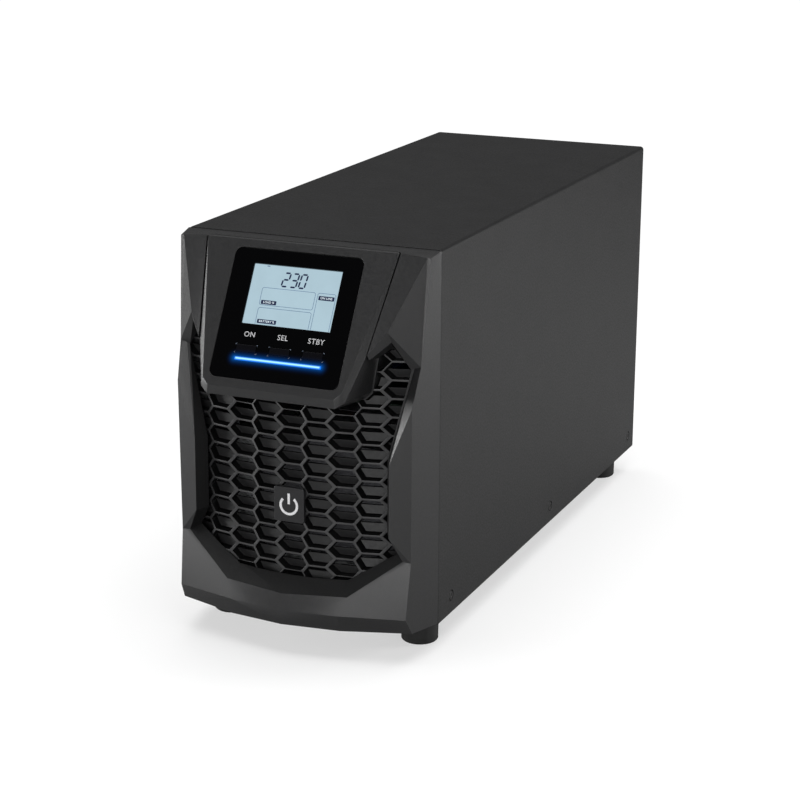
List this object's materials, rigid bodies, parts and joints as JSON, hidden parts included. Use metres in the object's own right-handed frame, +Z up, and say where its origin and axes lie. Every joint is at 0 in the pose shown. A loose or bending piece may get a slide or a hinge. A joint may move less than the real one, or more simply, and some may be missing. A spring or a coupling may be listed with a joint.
{
  "type": "uninterruptible power supply",
  "caption": "Tower uninterruptible power supply: black steel case, faceted front bezel with honeycomb grille, tilted display with keys and light bar, rear fan, sockets and breaker.",
  "frame": {"origin": "bottom centre of the feet", "axes": "+Z up, front towards -Y, +X to the right seen from the front"},
  "size_m": [0.158, 0.438, 0.2385],
  "materials": {
    "cover_paint": "fine satin black powder coat on steel sheet",
    "panel_paint": "satin black powder coat on steel sheet",
    "tray_steel": "zinc plated sheet",
    "bezel_plastic": "charcoal moulded plastic with a fine spark texture",
    "grille_plastic": "charcoal moulded plastic, fine texture",
    "badge_plate": null,
    "display_gloss": "gloss black display window",
    "lcd_face": "pale blue backlit segment display",
    "light_lens": "lit cyan-white status bar",
    "key_gloss": "gloss black key cap",
    "rubber": "matt black rubber",
    "black_screw": "black oxide screw",
    "zinc_screw": "zinc plated screw",
    "battery_case": "grey ABS battery case",
    "red_wire": "red insulation",
    "black_wire": "black insulation",
    "circuit_board": "green solder mask",
    "aluminium": "extruded aluminium",
    "capacitor_sleeve": "shrink sleeve",
    "copper_winding": "enamelled copper winding",
    "fan_plastic": "black moulded plastic",
    "guard_wire": "plated finger guard",
    "socket_plastic": "black moulded socket",
    "breaker_cap": "red button",
    "port_metal": "nickel plated shell"
  },
  "bodies": {
    "case": {"top_cover": "cover_paint", "rear_panel": "panel_paint", "slot_cover": "panel_paint", "chassis_tray": "tray_steel", "battery_strap": "tray_steel", "front_bezel": "bezel_plastic", "display_shield": "bezel_plastic", "hex_grille": "grille_plastic", "grille_badge": "badge_plate", "display_glass": "display_gloss", "lcd_panel": "lcd_face", "light_bar": "light_lens", "foot_front_left": "rubber", "foot_front_right": "rubber", "foot_rear_left": "rubber", "foot_rear_right": "rubber", "cover_screw_left_1": "black_screw", "cover_screw_left_2": "black_screw", "cover_screw_left_3": "black_screw", "cover_screw_right_1": "black_screw", "cover_screw_right_2": "black_screw", "cover_screw_right_3": "black_screw", "slot_screw_top": "zinc_screw", "slot_screw_bottom": "zinc_screw", "panel_screw_low_left": "zinc_screw", "panel_screw_low_right": "zinc_screw", "panel_screw_high_left": "zinc_screw", "panel_screw_high_right": "zinc_screw", "battery_1": "battery_case", "battery_2": "battery_case", "battery_3": "battery_case", "battery_lead_red": "red_wire", "battery_lead_black": "black_wire", "power_board": "circuit_board", "control_board": "circuit_board", "display_board": "circuit_board", "heatsink_left": "aluminium", "heatsink_right": "aluminium", "capacitor_1": "capacitor_sleeve", "capacitor_2": "capacitor_sleeve", "capacitor_3": "capacitor_sleeve", "main_inductor": "copper_winding", "charger_transformer": "copper_winding", "fan_frame": "fan_plastic", "fan_guard": "guard_wire", "mains_inlet": "socket_plastic", "outlet_1": "socket_plastic", "outlet_2": "socket_plastic", "outlet_3": "socket_plastic", "outlet_4": "socket_plastic", "battery_port": "socket_plastic", "breaker_body": "socket_plastic", "usb_port": "port_metal", "serial_port": "port_metal"},
    "on_key": {"on_key": "key_gloss"},
    "select_key": {"select_key": "key_gloss"},
    "standby_key": {"standby_key": "key_gloss"},
    "breaker_button": {"breaker_button": "breaker_cap"},
    "fan_rotor": {"fan_rotor": "fan_plastic"}
  },
  "joints": [
    {"name": "on_key_press", "type": "slide", "parent": "case", "child": "on_key", "axis": [0, 0.8688, -0.4952], "range_m": [0, 0.0006], "stiffness_N_per_m": 1500},
    {"name": "select_key_press", "type": "slide", "parent": "case", "child": "select_key", "axis": [0, 0.8688, -0.4952], "range_m": [0, 0.0006], "stiffness_N_per_m": 1500},
    {"name": "standby_key_press", "type": "slide", "parent": "case", "child": "standby_key", "axis": [0, 0.8688, -0.4952], "range_m": [0, 0.0006], "stiffness_N_per_m": 1500},
    {"name": "breaker_trip", "type": "slide", "parent": "case", "child": "breaker_button", "axis": [0, 1, 0], "range_m": [0, 0.003]},
    {"name": "fan_spin", "type": "hinge", "parent": "case", "child": "fan_rotor", "pos_m": [-0.03, 0.18931, 0.1845], "axis": [0, 1, 0], "continuous": true}
  ]
}
